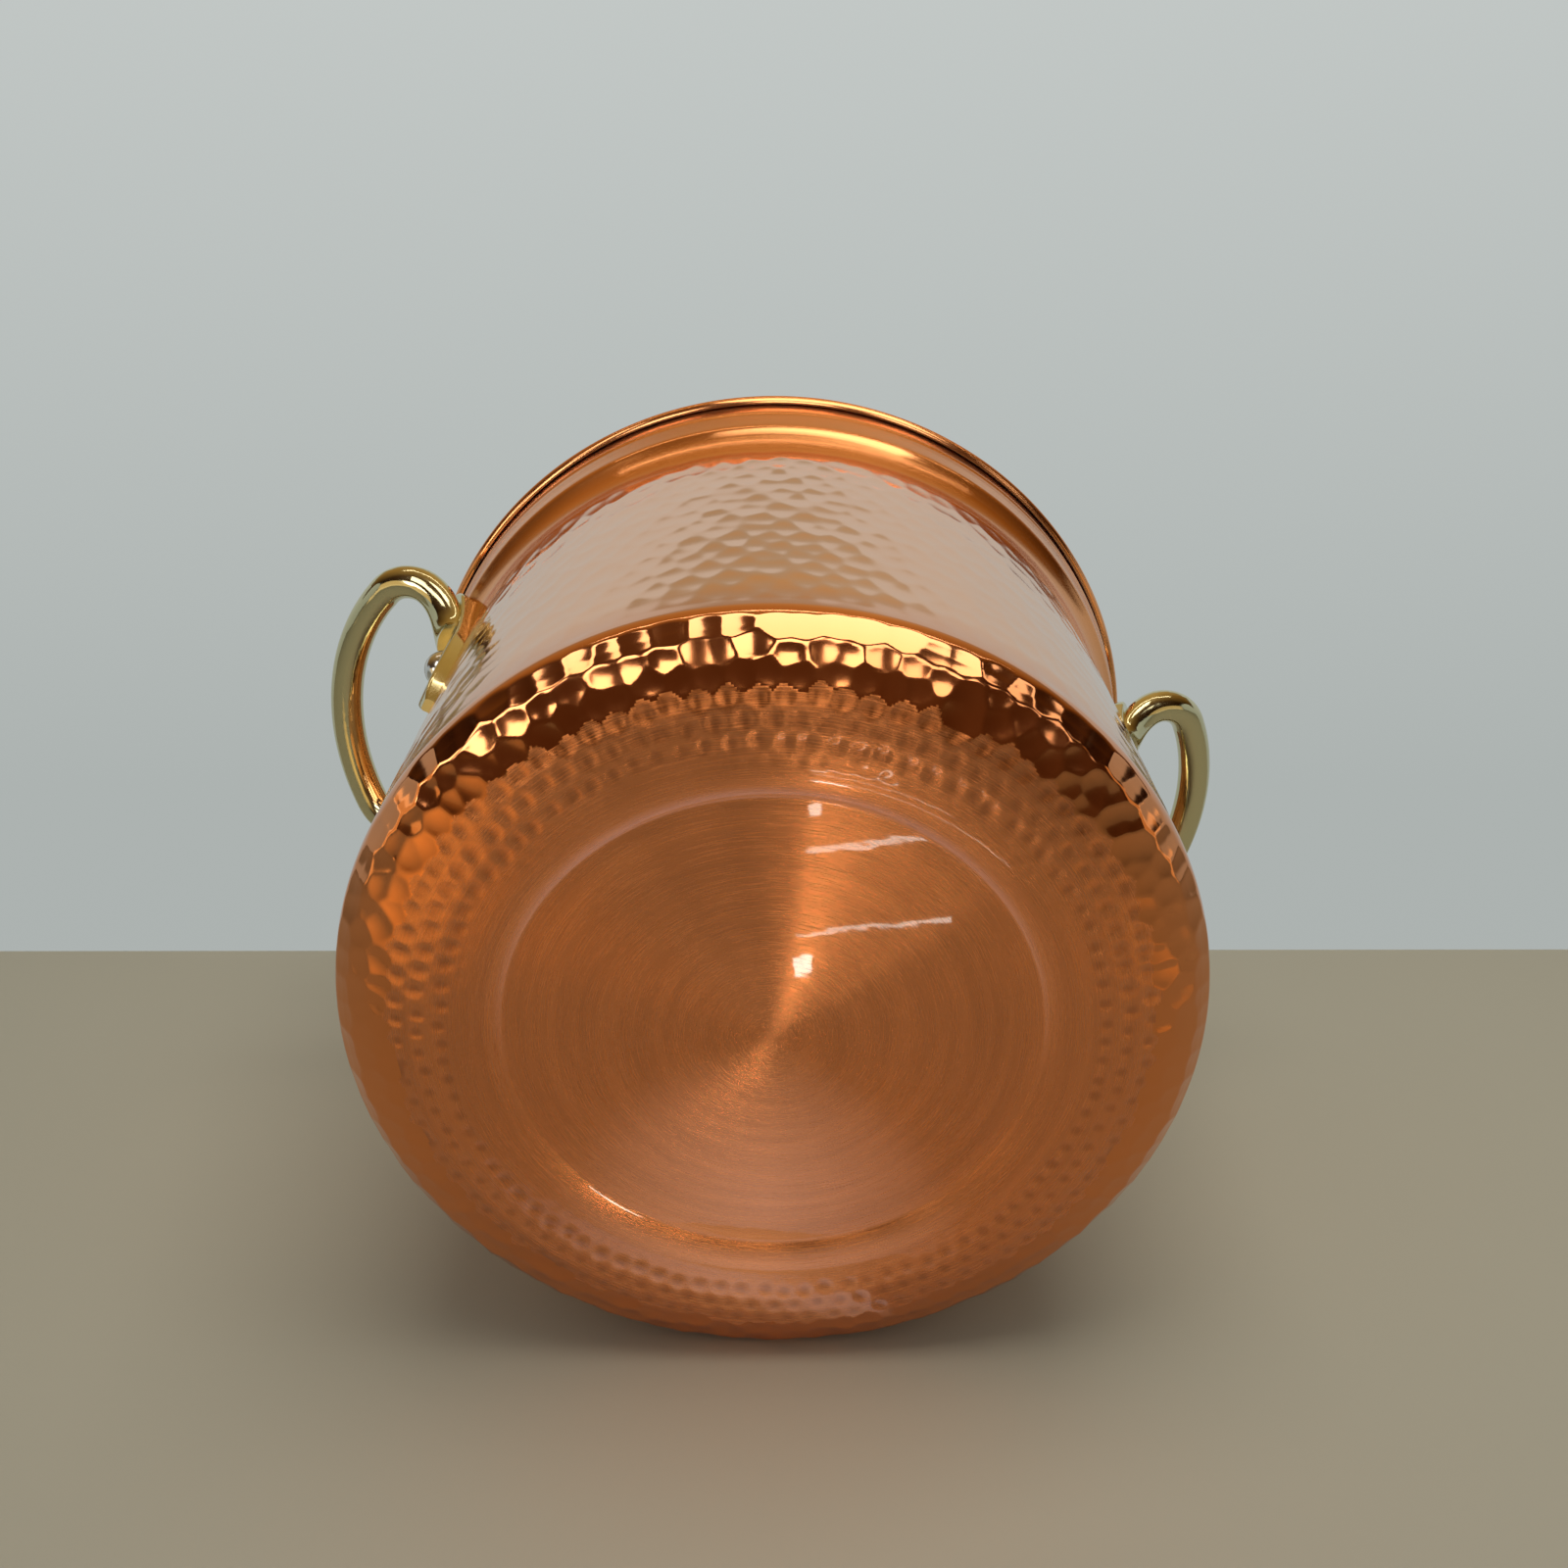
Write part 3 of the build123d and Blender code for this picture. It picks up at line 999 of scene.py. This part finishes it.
def turn_towards(facing):
    """A turn that faces a lamp or card along a direction, its height as upright as can be."""
    right, up, _ = camera_axes()
    away = -facing.normalized()
    side = up.cross(away).normalized() if abs(away.dot(up)) < 0.99 else right
    return Matrix((side, away.cross(side), away)).transposed().to_4x4()


def add_lamp(name, place, facing, width, height, radiance, hex_colour):
    """A soft rectangular lamp at a place in metres, which shines on the metal only."""
    data = bpy.data.lights.new(name, "AREA")
    data.shape = "RECTANGLE"
    data.size, data.size_y = width, height
    data.energy = radiance * np.pi * width * height
    data.color = linear(hex_colour)[:3]
    lamp = add_object(name, data)
    lamp.visible_camera = lamp.visible_diffuse = False
    lamp.matrix_world = Matrix.Translation(place) @ turn_towards(facing)
    return lamp


# Lamps: name, degrees above the camera, degrees to its right, distance, width and height
# in metres, brightness as seen in a mirror, colour.
LAMPS = (
    ("strip_lamp", 88.0, 6.0, 1.0, 1.60, 0.035, 4.5, "#FFF4E2"),
    ("ceiling_lamp", 50.0, 12.0, 1.0, 0.83, 0.72, 3.0, "#FFFAEC"),
    ("ceiling_lamp_left", 40.0, -36.0, 1.0, 0.16, 0.40, 3.0, "#FFFAEC"),
    ("ceiling_lamp_right", 36.0, 50.0, 1.0, 0.10, 0.30, 1.6, "#FFFAEC"),
    ("window_lamp_0", 2.0, -54.0, 1.0, 0.16, 0.28, 4.0, "#FFFAF2"),
    ("window_lamp_1", 0.0, -38.0, 1.0, 0.20, 0.32, 4.4, "#FFFAF2"),
    ("window_lamp_2", 6.0, -18.0, 1.0, 0.20, 0.32, 4.0, "#FFFAF2"),
    ("window_lamp_3", 5.0, 3.0, 1.0, 0.20, 0.32, 3.8, "#FFFAF2"),
    ("window_lamp_4", 6.0, 21.0, 1.0, 0.18, 0.30, 2.9, "#FFFAF2"),
    ("window_lamp_5", 0.0, 40.0, 1.0, 0.12, 0.24, 1.5, "#FFFAF2"),
    ("left_lamp", -12.0, -64.0, 1.0, 0.40, 0.45, 0.8, "#FFDFA4"),
    ("right_lamp", -18.0, 64.0, 1.0, 0.40, 0.35, 0.6, "#FFDFA4"),
)

# The lamp that lights the board, and the strength, spread and direction of a high sun for
# the floor. The metal sees neither.
SUN_STRENGTH, SUN_SPREAD = 1.9, 35.0
SUN_WAY = Vector((-0.1, -0.15, -1.0))
BOARD_LAMP = ("board_lamp", 60.0, 6.0, 1.05, 0.80, 0.60, 3.4, "#FFFAF0")

# Small lamps in front of the base, all facing one way, placed in the pot's frame in mm:
# name, place, width, height, brightness and colour. The lacquer shows them as glints.
GLINT_FACING = Vector((0.0, -0.5, 1.0))
GLINTS = (
    ("bulb", (19.4, 57.3, -120.2), 6.0, 6.0, 22.0, "#FFF8EC"),
    ("low_strip", (40.0, 38.5, -120.2), 52.0, 1.6, 10.0, "#FFF8EC"),
    ("high_strip", (32.0, 8.0, -120.2), 40.0, 1.6, 10.0, "#FFF8EC"),
    ("high_bulb", (14.5, 4.0, -132.0), 4.0, 4.0, 14.0, "#FFF8EC"),
    ("ring_strip", (24.0, -12.4, -120.2), 24.0, 2.0, 8.0, "#FFF8EC"),
)

# Cards with soft edges low in front of the base: name, place in mm, the point they face,
# width and height in mm, brightness in the middle, colour.
CARDS = (
    ("low_card", (14.0, 101.0, -52.0), (0.0, 50.0, 0.0), 120.0, 90.0, 1.2, "#DCEBFF"),
    ("contact_card", (5.0, 103.0, -25.0), (5.0, 60.0, -27.0), 190.0, 26.0, 1.2, "#CFE4FF"),
    ("left_card", (-200.0, 70.0, -190.0), (-90.0, 0.0, 0.0), 200.0, 220.0, 1.2, "#FFD48A"),
    ("right_card", (230.0, 85.0, -170.0), (90.0, 10.0, 0.0), 200.0, 170.0, 0.85, "#FFD48A"),
)


def soft_card(name, place, facing, width, height, brightness, hex_colour):
    """A glowing card that fades towards its edges and shines on the metal only."""
    mesh = bpy.data.meshes.new(name)
    mesh.from_pydata([(-1, -1, 0), (1, -1, 0), (1, 1, 0), (-1, 1, 0)], [], [(0, 1, 2, 3)])
    material, tree, on_card = new_surface(name)
    fade = add_node(tree, "ShaderNodeTexGradient", {"Vector": on_card}, gradient_type="SPHERICAL")
    light = {"Color": linear(hex_colour), "Strength": brightness}
    glow = add_node(tree, "ShaderNodeEmission", light)
    clear = add_node(tree, "ShaderNodeBsdfTransparent")
    blend = {0: fade.outputs["Fac"], 1: clear.outputs[0], 2: glow.outputs[0]}
    close_material(tree, add_node(tree, "ShaderNodeMixShader", blend))
    mesh.materials.append(material)
    card = add_object(name, mesh)
    card.visible_camera = card.visible_diffuse = card.visible_shadow = False
    spread = Matrix.Diagonal((width / 2, height / 2, 1.0, 1.0))
    card.matrix_world = Matrix.Translation(place) @ turn_towards(facing) @ spread


def add_lamps():
    """One lamp and a high sun for the boards; every other lamp and card for the metal."""
    for name, up, right, distance, *rest in (BOARD_LAMP, *LAMPS):
        towards = studio_way(up, right)
        lamp = add_lamp(name, POT_MIDDLE + towards * distance, -towards, *rest)
        if name == "board_lamp":
            lamp.visible_glossy, lamp.visible_diffuse = False, True
            lit = bpy.data.collections.new("lit_by_board_lamp")
            lit.objects.link(bpy.data.objects["side_board"])
            lamp.light_linking.receiver_collection = lit
    sun = add_object("sun_lamp", bpy.data.lights.new("sun_lamp", "SUN"))
    sun.data.energy, sun.data.angle = SUN_STRENGTH, radians(SUN_SPREAD)
    sun.visible_camera = sun.visible_glossy = False
    sun.matrix_world = turn_towards(SUN_WAY)
    for name, place, width, height, *rest in GLINTS:
        place = Vector(place) * MM
        add_lamp(name, place, GLINT_FACING, width * MM, height * MM, *rest)
    for name, place, target, width, height, *rest in CARDS:
        place, target = Vector(place) * MM, Vector(target) * MM
        soft_card(name, place, target - place, width * MM, height * MM, *rest)


def add_camera():
    """The photograph's camera: no shift, all in focus."""
    right, up, back = camera_axes()
    data = bpy.data.cameras.new("camera")
    data.sensor_width = data.lens = SENSOR_MM
    data.clip_start = CLIP_START
    camera = add_object("camera", data)
    turn = Matrix((right, up, back)).transposed().to_4x4()
    camera.matrix_world = Matrix.Translation(CAMERA_PLACE) @ turn
    bpy.context.scene.camera = camera


class POT_OT_stage(bpy.types.Operator):
    """Set up the plain floor, the soft light and the camera"""

    bl_idname = "stew_pot.stage"
    bl_label = "Stage"

    def execute(self, context):
        build_boards(context.scene.pot_finishes)
        light_world()
        build_room()
        add_lamps()
        add_camera()
        context.scene.view_settings.view_transform = "Standard"
        return {"FINISHED"}


class POT_PT_panel(bpy.types.Panel):
    """Shows the pot's sizes and finishes and the steps that build it"""

    bl_idname = "POT_PT_panel"
    bl_label = "Stew pot"
    bl_space_type = "VIEW_3D"
    bl_region_type = "UI"
    bl_category = "Stew Pot"

    def draw(self, context):
        layout = self.layout
        for group in (context.scene.pot_sizes, context.scene.pot_finishes):
            for name in group.__annotations__:
                layout.prop(group, name)
        for operator in OPERATORS:
            layout.operator(operator.bl_idname)


OPERATORS = (POT_OT_shell, POT_OT_lining, POT_OT_handles, POT_OT_stage)
CLASSES = (PotSizes, PotFinishes, *OPERATORS, POT_PT_panel)


def register():
    for each in CLASSES:
        bpy.utils.register_class(each)
    bpy.types.Scene.pot_sizes = bpy.props.PointerProperty(type=PotSizes)
    bpy.types.Scene.pot_finishes = bpy.props.PointerProperty(type=PotFinishes)


def unregister():
    del bpy.types.Scene.pot_finishes
    del bpy.types.Scene.pot_sizes
    for each in reversed(CLASSES):
        bpy.utils.unregister_class(each)


def main():
    register()
    bpy.ops.stew_pot.shell()
    bpy.ops.stew_pot.lining()
    bpy.ops.stew_pot.handles()
    bpy.ops.stew_pot.stage()


if __name__ == "__main__":
    main()
